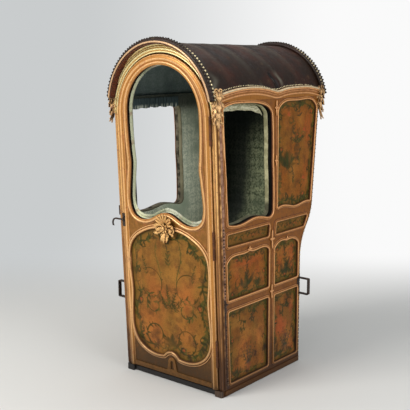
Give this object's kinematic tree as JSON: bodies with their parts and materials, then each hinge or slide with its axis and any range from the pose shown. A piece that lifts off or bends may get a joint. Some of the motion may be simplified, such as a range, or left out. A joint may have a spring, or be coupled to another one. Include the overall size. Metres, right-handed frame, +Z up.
{
  "type": "sedan chair",
  "caption": "Enclosed one-seat carrying chair with an arched glazed-frame door, side windows, curved back, barrel roof in leather and iron staples for carrying poles.",
  "frame": {"origin": "centre of the footprint of the whole chair, on the floor", "axes": "+Z up, the door faces -Y, +X is on the right seen from the front"},
  "size_m": [0.796, 1.0128, 1.7691],
  "materials": {
    "roof_leather": "black-brown hide, crazed and scuffed",
    "gilt_frame": "worn water gilding over pink bole",
    "gilt_carving": "worn water gilding",
    "painted_board": "oil painting on an ochre ground, dirty and rubbed",
    "dark_frame": "dark brown-red paint and varnish",
    "plain_wood": "bare old wood",
    "galloon": "pale green silk galloon, faded",
    "damask": "sage silk damask, faded",
    "iron": "dark wrought iron"
  },
  "bodies": {
    "cabin": {"back_head": "dark_frame", "back_lining": "damask", "back_panel": "painted_board", "back_rails": "dark_frame", "back_stile_left": "dark_frame", "back_stile_right": "dark_frame", "base_frame": "plain_wood", "ceiling_lining": "damask", "corner_drop_front_left": "gilt_carving", "corner_drop_front_right": "gilt_carving", "corner_drop_rear_left": "gilt_carving", "corner_drop_rear_right": "gilt_carving", "floor_board": "plain_wood", "foot_front_left": "plain_wood", "foot_front_right": "plain_wood", "front_cornice": "gilt_carving", "front_hoop": "dark_frame", "front_rim": "dark_frame", "front_rim_bead": "gilt_carving", "hinge_lower_post": "iron", "hinge_middle_post": "iron", "hinge_upper_post": "iron", "latch_keeper": "iron", "pelmet_left": "galloon", "pelmet_right": "galloon", "rear_rim": "dark_frame", "roof_boards": "plain_wood", "roof_leather": "roof_leather", "seat_board": "plain_wood", "seat_cushion": "damask", "seat_front": "plain_wood", "side_cornice_left": "gilt_carving", "side_cornice_right": "gilt_carving", "side_frame_left": "gilt_frame", "side_frame_right": "gilt_frame", "side_galloon_left": "galloon", "side_galloon_right": "galloon", "side_lining_left": "damask", "side_lining_right": "damask", "side_panel_left": "painted_board", "side_panel_right": "painted_board", "staple_front_left": "iron", "staple_plate_front_right": "iron", "staple_rear_left": "iron", "staple_rear_right": "iron"},
    "door": {"door_frame": "gilt_frame", "door_panel": "painted_board", "door_lining": "damask", "door_galloon": "galloon", "cartouche": "gilt_carving", "door_niche": "gilt_carving", "hinge_lower_door": "iron", "hinge_middle_door": "iron", "hinge_upper_door": "iron", "latch_handle": "iron"}
  },
  "joints": [
    {"name": "door_hinge", "type": "hinge", "parent": "cabin", "child": "door", "pos_m": [0.3055, -0.39107, -0.00079], "axis": [0, -0.0454, 0.999], "range_deg": [0, 100]}
  ]
}
